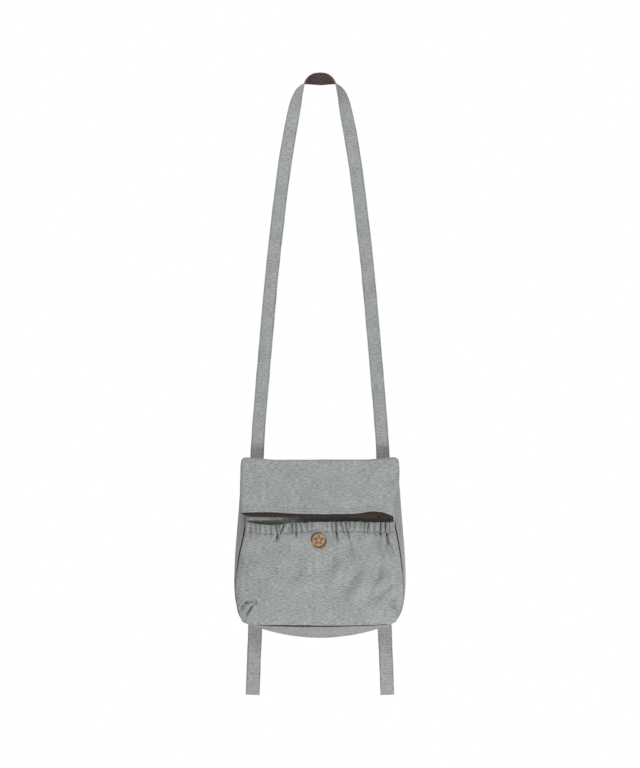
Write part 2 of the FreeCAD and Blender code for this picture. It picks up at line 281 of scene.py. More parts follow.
def sew(thread, line, normals, start=0.0, radius=0.34, sink=0.12):
    """Adds a running seam to a Cloth: short threads that dip into the cloth at both ends. line holds
    the seam's points and normals the cloth's outward normals there."""
    look = bpy.context.scene.carrier
    pitch, length = look.stitch_pitch / MM, look.stitch_length / MM
    along = lengths_along(line)
    rings, sides = 5, 6
    turn = np.linspace(0, 2 * np.pi, sides, endpoint=False)
    quads = grid_quads(sides, rings, True)[:, ::-1]
    last = (rings - 1) + np.arange(sides) * rings
    first = np.arange(sides) * rings
    caps = [[first[0], first[1], first[2], first[5]], [first[2], first[3], first[4], first[5]],
            [last[5], last[2], last[1], last[0]], [last[5], last[4], last[3], last[2]]]
    quads = np.concatenate([quads, caps])
    arch = np.sin(np.linspace(0, np.pi, rings))
    for k in range(int((along[-1] - start) / pitch)):
        at = start + (k + 0.5) * pitch + np.linspace(-0.5, 0.5, rings) * length
        middle = np.stack([np.interp(at, along, line[:, c]) for c in range(3)], axis=1)
        up = unit(np.stack([np.interp(at, along, normals[:, c]) for c in range(3)], axis=1))
        side = np.cross(unit(middle[-1] - middle[0]), up)
        size = radius * (0.45 + 0.55 * arch)
        middle = middle + up * ((arch - 0.75) * radius - sink)[:, None]
        ring = (middle + side * (np.cos(turn)[:, None] * size)[..., None]
                + up * (np.sin(turn)[:, None] * size)[..., None])
        pattern = np.stack(np.broadcast_arrays(at, (turn * radius)[:, None]), -1)
        thread.add(ring, quads, pattern)


# ---- shader maths --------------------------------------------------------------------------------
class Sock:
    """A shader socket that can stand in an expression."""

    def __init__(self, shader, socket):
        self.shader, self.socket = shader, socket

    def maths(self, operation, *values):
        return self.shader.maths(operation, *values)

    def __add__(self, other):
        return self.maths("ADD", self, other)

    def __radd__(self, other):
        return self.maths("ADD", other, self)

    def __sub__(self, other):
        return self.maths("SUBTRACT", self, other)

    def __rsub__(self, other):
        return self.maths("SUBTRACT", other, self)

    def __mul__(self, other):
        return self.maths("MULTIPLY", self, other)

    def __rmul__(self, other):
        return self.maths("MULTIPLY", other, self)

    def __truediv__(self, other):
        return self.maths("DIVIDE", self, other)

    def __pow__(self, other):
        return self.maths("POWER", self, other)


class Shader:
    """A material with a Principled shader, and short ways to add nodes before it."""

    def __init__(self, name, roughness, **settings):
        self.material = bpy.data.materials.new(name)
        self.material.use_nodes = True
        self.tree = self.material.node_tree
        self.surface = self.tree.nodes["Principled BSDF"]
        self.surface.inputs["Roughness"].default_value = roughness
        for socket, value in settings.items():
            self.surface.inputs[socket.replace("_", " ")].default_value = value

    def put(self, socket, value):
        if isinstance(value, Sock):
            self.tree.links.new(value.socket, socket)
        elif value is not None:
            socket.default_value = value

    def node(self, kind, settings, *values, output=0, **named):
        """Adds a node. settings are its own, values fill its sockets in order, and named by name."""
        made = self.tree.nodes.new(kind)
        for name, value in settings.items():
            setattr(made, name, value)
        for socket, value in zip(made.inputs, values):
            self.put(socket, value)
        for name, value in named.items():
            self.put(made.inputs[name.replace("_", " ")], value)
        return Sock(self, made.outputs[output])

    def maths(self, operation, *values):
        return self.node("ShaderNodeMath", {"operation": operation}, *values)

    def split(self, vector):
        """A vector's three numbers."""
        made = self.tree.nodes.new("ShaderNodeSeparateXYZ")
        self.put(made.inputs[0], vector)
        return [Sock(self, output) for output in made.outputs]

    def cloth_place(self):
        """(whole vector, along the rows, across the rows) of the cloth, in millimetres."""
        place = self.node("ShaderNodeAttribute", {"attribute_name": "cloth"}, output="Vector")
        return (place, *self.split(place)[:2])

    def vector(self, x, y, z=0.0):
        return self.node("ShaderNodeCombineXYZ", {}, x, y, z)

    def noise(self, vector, scale, detail=2.0, roughness=0.5):
        return self.node("ShaderNodeTexNoise", {}, Vector=vector, Scale=scale, Detail=detail,
                         Roughness=roughness)

    def mix(self, factor, a, b):
        made = self.tree.nodes.new("ShaderNodeMix")
        made.data_type = "RGBA"
        for name, value in (("Factor_Float", factor), ("A_Color", a), ("B_Color", b)):
            self.put(next(s for s in made.inputs if s.identifier == name), value)
        return Sock(self, next(s for s in made.outputs if s.identifier == "Result_Color"))

    def band(self, value, low, high):
        """0 to 1 as value goes from low to high."""
        return self.node("ShaderNodeMapRange", {"clamp": True}, value, low, high, 0.0, 1.0)

    def wave(self, value):
        return self.maths("SINE", value)

    def bounce(self, value, top):
        """Rises to top and falls back to 0, over and over."""
        return self.maths("PINGPONG", value, top)

    def finish(self, colour, height, distance, strength=1.0):
        self.put(self.surface.inputs["Base Color"], colour)
        bump = self.node("ShaderNodeBump", {}, Strength=strength, Distance=distance, Height=height)
        self.put(self.surface.inputs["Normal"], bump)
        return self.material


def tone(colour, factor=1.0):
    """A colour made lighter or darker, with full alpha."""
    return tuple(min(1.0, c * factor) for c in colour[:3]) + (1.0,)


def make_jersey(look):
    """Mottled grey knit: light and dark fibres in short streaks along the rows of stitches."""
    s = Shader("grey_mottled_jersey", 0.92, Sheen_Weight=0.22, Sheen_Roughness=0.6,
               Specular_IOR_Level=0.2)
    place, along, across = s.cloth_place()
    across_wander = across + s.noise(place, 0.09) * 0.8
    streaks = s.noise(s.vector(along * 0.16, across_wander * 0.66), 1.0, 3.0, 0.70)
    fibres = s.noise(s.vector(along * 0.45, across_wander * 2.1), 1.0, 3.0, 0.6)
    clouds = s.noise(s.vector(along * 0.03, across * 0.045), 1.0)
    fleck = s.band(s.noise(s.vector(along * 0.22, across * 1.25, 4.0), 1.0), 0.6, 0.74)
    shade = s.band(streaks * 0.60 + fibres * 0.30 + clouds * 0.12, 0.41, 0.61)
    colour = s.mix(shade, tone(look.jersey_dark), tone(look.jersey_light))
    colour = s.mix(fleck * 0.35, colour, tone(look.jersey_dark, 0.85))
    # Each knit stitch is a small V, so the courses zigzag as they run along a row.
    wale, course = look.knit_wale / MM, look.knit_course / MM
    zigzag = s.bounce(along, wale / 2)
    loops = s.wave((across + zigzag * 0.9) * (2 * math.pi / course))
    height = loops * 0.25 + zigzag * 0.5 + fibres * 0.9
    return s.finish(colour, height, 0.12 * MM, 0.55)


def make_print(look):
    """Brown cotton with small near-black dots in staggered rows."""
    s = Shader("brown_dotted_cotton", 0.85, Sheen_Weight=0.1, Specular_IOR_Level=0.25)
    place, along, across = s.cloth_place()
    wander = s.noise(place, 0.3, 1.0) * 0.5
    pitch, row = look.dot_pitch / MM, 2 * look.dot_row / MM

    def nearest(shift):
        dx = s.bounce(along + wander + shift * pitch, pitch / 2)
        dy = s.bounce(across + wander + shift * row, row / 2)
        return dx * dx + dy * dy

    near = s.maths("MINIMUM", nearest(0.0), nearest(0.5))
    radius = look.dot_size / MM / 2
    dots = 1.0 - s.band(near, (radius * 0.82) ** 2, (radius * 1.15) ** 2)
    thread = s.noise(s.vector(along * 1.6, across * 2.4), 1.0, 3.0, 0.6)
    ground = s.mix(s.band(thread, 0.35, 0.68), tone(look.print_brown, 0.78),
                   tone(look.print_brown, 1.2))
    colour = s.mix(dots * 0.94, ground, tone(look.print_dot))
    weave = s.wave(along * (2 * math.pi / 0.42)) * s.wave(across * (2 * math.pi / 0.42))
    return s.finish(colour, weave + thread, 0.06 * MM, 0.5)


def twisted_thread(look, name, roughness, twist, dark, light):
    """Sewing thread with a fine twist, between two tones of the thread's grey."""
    s = Shader(name, roughness, Sheen_Weight=0.2, Specular_IOR_Level=0.3)
    along, across = s.cloth_place()[1:]
    ply = s.wave((along + across * 0.8) * twist)
    colour = s.mix(s.band(ply, -0.9, 0.9), tone(look.shade_darkened_thread_grey, dark),
                   tone(look.shade_darkened_thread_grey, light))
    return s.finish(colour, ply, 0.05 * MM, 0.6)


def make_thread(look):
    """Sewing thread, painted dark grey with the shade that falls in its stitch holes."""
    return twisted_thread(look, "shade_darkened_sewing_thread", 0.7, 11.0, 0.72, 1.1)


def make_pale_thread(look):
    """Thicker pale thread, as the button is sewn on with."""
    return twisted_thread(look, "pale_button_thread", 0.65, 9.0, 4.4, 6.4)


def make_wood(look):
    """Pale wood with fine grain, scorched brown in its engraved star, with painted shade darkening it
    towards its rim.
    """
    s = Shader("pale_button_wood", 0.5, Specular_IOR_Level=0.35)
    place = s.node("ShaderNodeTexCoord", {}, output="Object")
    turned = s.node("ShaderNodeMapping", {}, Vector=place, Rotation=(0, 0.25, 0), Scale=(90, 90, 900))
    rings = s.noise(turned, 1.6, 4.0, 0.6)
    pores = s.band(s.noise(turned, 7.0), 0.62, 0.74)
    colour = s.mix(s.band(rings, 0.32, 0.68), tone(look.wood, 0.74), tone(look.wood, 1.18))
    colour = s.mix(pores * 0.5, colour, tone(look.wood, 0.4))
    x, depth, z = s.split(place)
    face = BUTTON_LOW[1] * MM
    dx, dz = x - BUTTON_X * MM, z - BUTTON_Z * MM
    radius = s.maths("SQRT", dx * dx + dz * dz) / MM
    # The star's ten edges fold onto one: from a point of the star to the notch beside it.
    angle = s.bounce(s.maths("ARCTAN2", dx, dz) + 4 * math.pi, math.pi / 5)
    px = radius * s.maths("COSINE", angle)
    py = radius * s.maths("SINE", angle)
    notch = STAR_NOTCH * math.cos(math.pi / 5), STAR_NOTCH * math.sin(math.pi / 5)
    nx, ny = notch[1], STAR_POINT - notch[0]
    size = math.hypot(nx, ny)
    off = s.maths("ABSOLUTE", (px - STAR_POINT) * (nx / size) + py * (ny / size))
    front = 1.0 - s.band(depth, face + 0.45 * MM, face + 0.6 * MM)
    scorch = (1.0 - s.band(off + rings * 0.3, 0.42, 1.0)) * front * (1.0 - s.band(radius, 8.2, 8.6))
    colour = s.mix(scorch * 0.95, colour, tone(look.wood_burnt))
    # Painted shade: the face darkens in a band at its rim, standing in for the dark ring of shade round
    # the button.
    rim = s.band(radius + rings * 0.8, 9.2, 10.2)
    colour = s.mix(rim * 0.75, colour, tone(look.wood, 0.38))
    return s.finish(colour, rings, 0.05 * MM, 0.5)


def make_elastic(look):
    """White woven elastic, ribbed across."""
    s = Shader("white_woven_elastic", 0.7)
    across = s.cloth_place()[2]
    ribs = s.wave(across * 5.0)
    colour = s.mix(s.band(ribs, -1.0, 1.0), (0.5, 0.5, 0.48, 1.0), (0.8, 0.8, 0.78, 1.0))
    return s.finish(colour, ribs, 0.15 * MM, 0.8)


def make_tape(look):
    """Grey fastening tape with a pile of fine loops or hooks."""
    s = Shader("grey_fastening_tape", 0.8, Sheen_Weight=0.4)
    place = s.node("ShaderNodeTexCoord", {}, output="Object")
    pile = s.node("ShaderNodeTexVoronoi", {}, Vector=place, Scale=1100.0)
    fuzz = s.noise(place, 3000.0, 3.0, 0.7)
    colour = s.mix(s.band(pile + fuzz * 0.6, 0.3, 1.0), tone(look.tape_grey, 1.2),
                   tone(look.tape_grey, 0.55))
    return s.finish(colour, 1.0 - pile + fuzz, 0.35 * MM, 0.9)


FINISHES = {
    "jersey": make_jersey,
    "print": make_print,
    "thread": make_thread,
    "pale_thread": make_pale_thread,
    "button_wood": make_wood,
    "elastic": make_elastic,
    "hook_tape": make_tape,
}
MATERIALS = {}


def finish_material(name):
    """The material of that finish, made once."""
    if name not in MATERIALS:
        MATERIALS[name] = FINISHES[name](bpy.context.scene.carrier)
    return MATERIALS[name]


def finish_node(name, finish):
    """Gives its material to a CAD node that stays in the model."""
    node = frame["nodes"][name]
    node.data.materials.clear()
    node.data.materials.append(finish_material(finish))


# ---- the pouch's outlines ------------------------------------------------------------------------
# Half outlines as (distance from the middle, drop), from the fold down to the middle of the bottom.
BACK_HALF = [
    (113.4, 0), (116.8, 16), (119.2, 36), (121.4, 66), (124.2, 100), (126.9, 136), (128.1, 170),
    (126.9, 194), (123.2, 211), (117.0, 224), (106.5, 235), (88.0, 244.4), (60.0, 251.8),
    (30.0, 256.6), (0.0, 258.3),
]
FRONT_LEFT = [
    (113.4, 0), (113.4, 24), (111.6, 60), (110.2, 90), (113.4, 108), (118.5, 130), (122.3, 152),
    (125.2, 172), (126.0, 190), (123.4, 208), (120.0, 224), (108.5, 238), (82.0, 240), (0.0, 240.5),
]
FRONT_RIGHT = [
    (113.4, 0), (113.2, 24), (111.4, 60), (110.2, 86), (113.8, 106), (118.0, 128), (121.0, 150),
    (123.2, 172), (123.9, 190), (123.0, 208), (117.5, 224), (106.5, 237.4),
    (80.0, 239.6), (0.0, 240.5),
]
PANEL_BOTTOM = 238.0        # drop of the front panel's lower edge
FLAT_POINTS = 150           # across the pouch
END_POINTS = 12             # round each end of the fold and the cuff
ROLL_POINTS = 34            # over the fold
CUFF_POINTS = 60            # from the fold down to the hem
PANEL_POINTS = 90           # from the fold down to the bottom
GUSSET_POINTS = 26          # across the gusset


def pouch_line(left, right, count=420):
    """An outline's (x, drop) points from the left top, round the bottom, to the right top."""
    return even_line([(-x, drop) for x, drop in left] + list(reversed(right[:-1])), count)


def front_face_y(drop):
    """Where the front panel's face lies."""
    return FRONT_TOP_Y + (FRONT_Y - FRONT_TOP_Y) * np.clip(np.asarray(drop, float) / LEAN_DEPTH, 0, 1)


def half_width(half, drop):
    """An outline's distance from the middle at that drop."""
    return smooth_value(drop, [(d, x) for x, d in half])


# ---- the back, the fold and the cuff, cut as one -------------------------------------------------
# Hem lines as (x, drop): of the cuff's near side and of its far side.
HEM_NEAR = [
    (-119.0, 70.8), (-95.0, 70.2), (-72.0, 70.2), (-46.5, 71.8), (0.0, 73.0), (33.0, 72.8),
    (51.0, 72.4), (64.0, 70.8), (76.0, 69.0), (88.0, 69.4), (97.0, 71.2),
    (105.0, 74.2), (111.0, 77.2),
]
HEM_FAR = [
    (-119.0, 73.2), (-108.0, 76.2), (-98.0, 77.2), (-72.0, 77.9), (3.0, 78.6), (54.0, 78.8),
    (90.0, 79.2), (111.0, 79.0),
]
# The cuff's ends as (drop, distance from the middle).
CUFF_LEFT = [(0, 118.8), (40, 119.9), (72, 119.3), (79, 119.2)]
CUFF_RIGHT = [(0, 118.6), (30, 117.3), (40, 114.6), (55, 112.0), (68, 111.0), (79, 111.2)]
FOLD_SQUARE = 0.45          # 1 for a round fold, less for one with a flatter front and top
HEM_ROWS = (3.0, 7.6)       # the topstitched rows, above the hem
# How far the hem of each cloth is lowered, on its near side and on its far side.
JERSEY_HEM, LINING_HEM = (0.0, -1.7), (-0.9, 0.1)
LINING_GAP = 0.05           # between the jersey and the lining of the gusset and the front


def tube_ring(near, far, left, right):
    """(x, reach) round a flattened tube, from the left end of its near side to the right, round, and
    back along its far side. reach is the distance behind the near side's plane of reference."""
    middle, radius = (near + far) / 2, (far - near) / 2
    flat = np.linspace(-left + radius, right - radius, FLAT_POINTS)
    turn = np.linspace(-np.pi / 2, np.pi / 2, END_POINTS + 2)[1:-1]
    right_end = np.stack([right - radius + np.cos(turn) * radius, middle + np.sin(turn) * radius], 1)
    left_end = np.stack([-left + radius - np.cos(turn) * radius, middle - np.sin(turn) * radius], 1)
    return np.vstack([
        np.stack([flat, np.full(FLAT_POINTS, near)], 1),
        right_end,
        np.stack([flat[::-1], np.full(FLAT_POINTS, far)], 1),
        left_end,
    ])


def fold_sag(x):
    """How far the fold hangs below its ends, between the straps that hold it."""
    return 3.6 * (1 - step(abs(x), 66, 116)) + 0.35 * cloth_noise(x, 0 * x, 24, 3)


def cuff_swell(x, drop, hem):
    """How far the cuff's near side stands out from a plane."""
    slow = 1.0 * cloth_noise(x, drop, 58, 11) + 0.4 * cloth_noise(x, drop, 23, 12)
    lift = 1.8 * step(x, 50, 80) * (1 - step(x, 94, 112)) * step(drop, 40, 74)
    dip = -1.6 * bell(x, 50, 15) * step(drop, 35, 72)
    rise = hem - drop
    hem_fold = 0.35 * (1 - step(rise, 8.6, 10.6))
    seams = -sum(0.5 * bell(rise, row, 0.9) for row in HEM_ROWS)
    return (slow + lift + dip) * step(x, -117, -95) * (1 - step(x, 98, 112)) + hem_fold + seams


def cuff_grid(inset, hem_shift):
    """The outer face of the fold and the cuff, inset behind its cloth: rings round the flattened tube,
    from the hem up and over the fold to the back. Its pattern too. hem_shift lowers the hem on the near
    and on the far side."""
    near, far = -ROLL + inset, -CLEARANCE - inset
    columns, pattern = [], []
    for down in np.linspace(1, 0, CUFF_POINTS)[:-1]:
        depth = down * HEM_FAR[-1][1]
        ring = tube_ring(near, far, smooth_value(depth, CUFF_LEFT) - inset,
                         smooth_value(depth, CUFF_RIGHT) - inset)
        x = ring[:, 0]
        share = (ring[:, 1] - near) / (far - near)
        hem = smooth_value(x, HEM_NEAR) * (1 - share) + smooth_value(x, HEM_FAR) * share
        drop = (hem + hem_shift[0] * (1 - share) + hem_shift[1] * share) * down
        swell = cuff_swell(x, drop, hem) * (1 - share) * step(drop, 0, 20)
        columns.append(np.stack([x, FOLD_Y + ring[:, 1] - LEAN * drop - swell, FOLD_Z - drop], 1))
        pattern.append(np.stack([ring_pattern(ring), -drop], 1))
    for angle in np.radians(np.linspace(0.5, 179.5, ROLL_POINTS)):
        ring = tube_ring(near, far, CUFF_LEFT[0][1] - inset, CUFF_RIGHT[0][1] - inset)
        x, reach = ring[:, 0], -ring[:, 1]
        # The ends of the fold draw in a little, which rounds its corners.
        drawn = 1.2 * math.sin(angle) ** 2 * step(abs(x), 108, 119) ** 2
        sag = fold_sag(x) * math.sin(angle) + drawn
        cosine, sine = math.cos(angle), math.sin(angle)
        y = FOLD_Y - reach * math.copysign(abs(cosine) ** FOLD_SQUARE, cosine)
        z = FOLD_Z + reach * sine ** FOLD_SQUARE - sag * reach / ROLL
        columns.append(np.stack([x * (1 - 0.006 * math.sin(angle)), y, z], 1))
        pattern.append(np.stack([ring_pattern(ring), np.full(len(ring), ROLL * angle)], 1))
    return np.stack(columns, 1), np.stack(pattern, 1)


def ring_pattern(ring):
    """Distances round the tube, which match the back panel's own along its near side."""
    loop = np.vstack([ring, ring[:1]])
    along = lengths_along(loop)[:-1]
    return along + ring[0, 0]


def back_grid(inset):
    """The back panel's outer face below the fold, and its pattern."""
    line = pouch_line(BACK_HALF, BACK_HALF, 2 * PANEL_POINTS + 1)
    share = np.linspace(0, 1, FLAT_POINTS)
    rows, pattern = [], []
    for k in range(PANEL_POINTS):
        drop = line[k, 1]
        half = abs(line[k, 0]) - inset
        x = -half + 2 * half * share
        rows.append(np.stack([x, 0 * x, FOLD_Z - drop + 0 * x], 1))
        pattern.append(np.stack([x, ROLL * np.pi + drop + 0 * x], 1))
    grid, pattern = np.stack(rows, 1), np.stack(pattern, 1)
    x, drop = grid[..., 0], FOLD_Z - grid[..., 2]
    rim = half_width(BACK_HALF, drop)
    free = step(drop, 3, 34) * step(np.minimum(rim - abs(x), 256 - drop - 0.0006 * x * x), 0, 24)
    hollow = 0.85 + 0.55 * cloth_noise(x, drop, 55, 21) + 0.3 * cloth_noise(x, drop, 22, 22)
    grid[..., 1] = BACK_Y - inset - hollow * free
    return grid, pattern


def body_cloth(inset, thickness, hem_shift):
    """The back, the fold and the cuff as one continuous cloth."""
    tube, tube_pattern = cuff_grid(inset, hem_shift)
    back, back_pattern = back_grid(inset)
    nu, nv = tube.shape[:2]
    points = np.vstack([tube.reshape(-1, 3), back[:, 1:].reshape(-1, 3)])
    pattern = np.vstack([tube_pattern.reshape(-1, 2), back_pattern[:, 1:].reshape(-1, 2)])
    rows, columns = back[:, 1:].shape[:2]
    below = nu * nv + np.arange(rows * columns).reshape(rows, columns)
    seam = (np.arange(nu)[:FLAT_POINTS] * nv + nv - 1)[:, None]
    number = np.concatenate([seam, below], 1)
    quads = np.stack([number[:-1, :-1], number[1:, :-1], number[1:, 1:], number[:-1, 1:]], -1)
    cloth = Cloth()
    cloth.thicken(points, np.concatenate([grid_quads(nu, nv, True), quads.reshape(-1, 4)]), pattern,
                  thickness)
    return cloth


# ---- the gusset and the front --------------------------------------------------------------------
def gusset_grid(inset):
    """The outer face of the strip that runs down one side, along the bottom and up the other."""
    lines = []
    for left, right, y in ((BACK_HALF, BACK_HALF, None), (FRONT_LEFT, FRONT_RIGHT, FRONT_Y)):
        line = pouch_line(left, right)
        depth = np.full(len(line), BACK_Y) if y is None else front_face_y(line[:, 1])
        lines.append(np.stack([line[:, 0], depth, FOLD_Z - line[:, 1]], 1))
    back, front = lines
    across = crowded(GUSSET_POINTS)
    grid = back[:, None] * (1 - across)[None, :, None] + front[:, None] * across[None, :, None]
    middle = (back + front) / 2
    run = np.gradient(middle, axis=0)
    outward = unit(np.stack([run[:, 2], 0 * run[:, 0], -run[:, 0]], 1))
    along = lengths_along(middle)[:, None] + 0 * across[None]
    drop = FOLD_Z - grid[..., 2]
    wide = np.linalg.norm(back - front, axis=1)[:, None] * across[None]
    bow = np.sin(np.pi * across)[None]
    swell = bow * (1.7 + 0.5 * cloth_noise(along, wide, 26, 31) + 3.6 * (1 - step(drop, 0, 40)))
    ripples = bow * 0.3 * cloth_noise(along, 0.5 * wide, 9, 32) * step(drop, 10, 60)
    grid = grid + outward[:, None] * (swell + ripples - inset)[..., None]
    # Along the front seam the strip dips in behind the pocket's edge and then rolls forward again.
    from_front = wide[:, -1:] - wide
    streaks = bow * 0.45 * cloth_noise(along, 0.2 * wide, 4.5, 33) * step(drop, 215, 235)
    hem = 1.3 * bell(wide, 0, 3) * step(drop, 225, 236)
    raised = 2.2 * bell(from_front, 0, 6) * step(drop, 226, 238)
    grid = grid + outward[:, None] * (streaks + hem - raised)[..., None]
    deeper = 2.7 + 0.8 * step(drop, 222, 238)
    seam = 4.6 * bell(from_front, 2.0, 1.3) - deeper * bell(from_front, 4.6, 1.5)
    grid[..., 1] += seam * step(drop, 78, 96)
    grid[..., 1] -= (0.5 - across)[None] * 2 * inset
    return grid, np.stack([wide, along], -1)


def front_grid(inset):
    """The outer face of the front panel, behind the cuff and the pocket."""
    rows = []
    for drop in np.linspace(PANEL_BOTTOM, 0, 84):
        left = half_width(FRONT_LEFT[:-2], drop) - 0.2 - inset
        right = half_width(FRONT_RIGHT[:-2], drop) - 0.2 - inset
        x = np.linspace(-left, right, 110)
        rows.append(np.stack([x, front_face_y(drop) + inset + 0 * x, FOLD_Z - drop + 0 * x], 1))
    grid = np.stack(rows, 1)
    x, drop = grid[..., 0], FOLD_Z - grid[..., 2]
    hollow = 0.9 + 0.7 * cloth_noise(x, drop, 34, 41) + 0.3 * cloth_noise(x, drop, 12, 42)
    grid[..., 1] += hollow * step(drop, 10, 50) * step(112 - abs(x), 0, 18)
    # The panel bellies forward above the left of the pocket, and is hollow behind its mouth.
    belly = 4.0 * bell(drop, 80.5, 6) - 4.5 * bell(drop, 90, 4.5)
    grid[..., 1] -= belly * step(x, -113, -104) * (1 - step(x, -62, -38))
    grid[..., 1] += 11.0 * bell(drop, 86, 13) * step(x, -40, -18) * (1 - step(x, 98, 114))
    return grid, np.stack([x, -drop], -1)


# ---- the pocket ----------------------------------------------------------------------------------
POCKET_WIDE, POCKET_HIGH = 360, 124     # points across the pocket and up it
ELASTIC_SPAN, ELASTIC_ROWS = (12.0, 2.2), 8     # below the mouth, and points between
ELASTIC_REACH = 17          # columns over which the elastic's run is smoothed
CASING = 13.6               # the casing's stitched line, below the mouth
MOUTH = [
    (-110.5, 85.0), (-97.0, 87.6), (-82.0, 89.7), (-66.0, 90.2), (-46.0, 87.4), (-15.0, 85.9),
    (42.0, 85.2), (76.0, 86.6), (100.0, 86.0), (110.5, 84.5),
]
# How far the pocket stands in front of the front panel, as (drop, distance).
STAND_OFF = [
    (84, 7.0), (92, 9.6), (100, 12.0), (112, 14.7), (135, 15.6), (165, 15.2),
    (190, 14.2), (215, 12.6), (241, 11.0),
]
# Folds that run down from the gathered mouth: place along the mouth, where each starts and ends below
# it, how far it leans to the right on the way, half width, depth.
GATHERS = [
    (-104.0, 0, 26, -2, 2.0, 0.8), (-97.5, 0, 20, 2, 1.7, 0.7), (-90.0, 0, 17, -1, 1.6, 0.7),
    (-83.0, 2, 18, 1, 1.6, 0.6), (-74.0, 0, 18, 0.5, 1.5, 0.9), (-65.5, 0, 22, 2.2, 1.5, 2.4),
    (-61.5, 0, 13, 1.0, 1.3, 1.6), (-52.0, 1, 17, -9, 1.6, 1.7), (-41.5, 0, 15, 0.0, 1.4, 1.7),
    (-36.2, 0, 24, 0.8, 1.4, 1.9), (-29.5, 3, 16, 3, 1.3, 1.3), (-20.0, 3, 15, 1, 1.4, 1.2),
    (-12.5, 0, 12, -1, 1.6, 0.7), (9.0, 0, 11, 1, 1.6, 0.7), (17.0, 0, 14, 1, 1.5, 0.8),
    (23.6, 1, 31, 2.4, 1.5, 2.1), (29.5, 0, 20, 8, 1.6, 1.5), (38.0, 1, 30, 6, 1.7, 1.7),
    (44.0, 0, 14, 0, 1.4, 1.2), (52.0, 2, 13, -2, 1.7, 0.8), (60.0, 0, 12, 1, 1.6, 0.8),
    (67.0, 0, 15, -1, 1.5, 0.9), (73.0, 0, 17, -1.6, 1.5, 1.3), (81.0, 2, 20, 1, 1.6, 0.9),
    (91.5, 0, 24, -1.5, 1.6, 1.7), (97.0, 0, 36, 5, 1.7, 2.2), (103.0, 0, 20, 1, 1.4, 1.0),
    (107.0, 0, 24, 1.5, 1.3, 1.0),
]
# Longer and softer folds lower down: start and end as (x, drop), half width, depth.
DRAPES = [
    ((-63.0, 106), (-69.0, 116), 3.0, 1.0), ((99.0, 112), (112.0, 146), 4.5, 1.8),
    ((40.0, 118), (47.0, 168), 7.0, 0.9), ((76.0, 112), (92.0, 150), 8.0, 0.9),
    ((88.0, 150), (64.0, 214), 9.0, 1.2), ((60.0, 150), (22.0, 206), 11.0, 1.1),
    ((106.0, 176), (76.0, 206), 6.0, 1.0), ((-90.0, 130), (-58.0, 176), 12.0, 0.8),
    ((-30.0, 120), (-48.0, 190), 13.0, 0.7), ((10.0, 132), (6.0, 200), 12.0, 0.6),
    ((104.0, 206), (114.0, 216), 2.2, 1.1), ((100.0, 196), (116.0, 204), 4.0, 0.9),
    ((-101.0, 209), (-113.0, 228), 2.2, 0.9), ((34.0, 214), (74.0, 224), 6.0, 0.6),
]
# The curved dent above the left lower corner.
DENT = [(-120.0, 216), (-113.0, 207), (-106.0, 203.5), (-99.0, 203.5), (-93.0, 208)]
# What the depths in those lists are multiplied by, and the dent's own half width and depth.
GATHER_DEPTH, DRAPE_DEPTH = 2.5, 2.7
DENT_WIDTH, DENT_DEPTH = 2.4, 2.6


def pocket_side(side, count):
    """One side of the pocket, as (x, drop) points from the bottom corner up to the mouth."""
    half = FRONT_LEFT if side < 0 else FRONT_RIGHT
    line = smooth_line([(side * x, drop) for x, drop in half], 900)
    mouth = MOUTH[0][1] if side < 0 else MOUTH[-1][1]
    keep = (line[:, 1] >= mouth) & (line[:, 1] <= 232.0) & (abs(line[:, 0]) > 100)
    return even_line(line[keep][::-1][::6], count)


def pocket_bottom(count):
    """The pocket's lower edge, as (x, drop) points from the left corner to the right."""
    left, right = pocket_side(-1, 4)[0], pocket_side(1, 4)[0]
    line = [tuple(left), (-108.5, 236.2), (-96.0, 237.6), (-60.0, 237.8), (-20.0, 238.2), (20.0, 238.6),
            (60.0, 238.0), (92.0, 236.9), (107.0, 235.2), tuple(right)]
    return even_line(line, count)


def crowded(count):
    """Numbers from 0 to 1 that crowd towards both ends."""
    t = np.linspace(0, 1, count)
    return 0.4 * t + 0.6 * (0.5 - 0.5 * np.cos(np.pi * t))


def spread(line, shares):
    """The points of an even line at those shares of its length."""
    at_even = np.linspace(0, 1, len(line))
    return np.stack([np.interp(shares, at_even, line[:, k]) for k in range(line.shape[1])], 1)


def pocket_plane():
    """(x, drop) over the pocket: a grid between its bottom, its mouth and its two sides."""
    across, rise = crowded(POCKET_WIDE), crowded(POCKET_HIGH)
    u, v = across[:, None, None], rise[None, :, None]
    bottom = spread(pocket_bottom(POCKET_WIDE), across)[:, None]
    left, right = (spread(pocket_side(side, POCKET_HIGH), rise)[None] for side in (-1, 1))
    x = left[0, -1, 0] + (right[0, -1, 0] - left[0, -1, 0]) * across
    top = np.stack([x, smooth_value(x, MOUTH)], 1)[:, None]
    corners = ((1 - u) * (1 - v) * bottom[:1] + u * (1 - v) * bottom[-1:]
               + (1 - u) * v * top[:1] + u * v * top[-1:])
    return (1 - v) * bottom + v * top + (1 - u) * left + u * right - corners


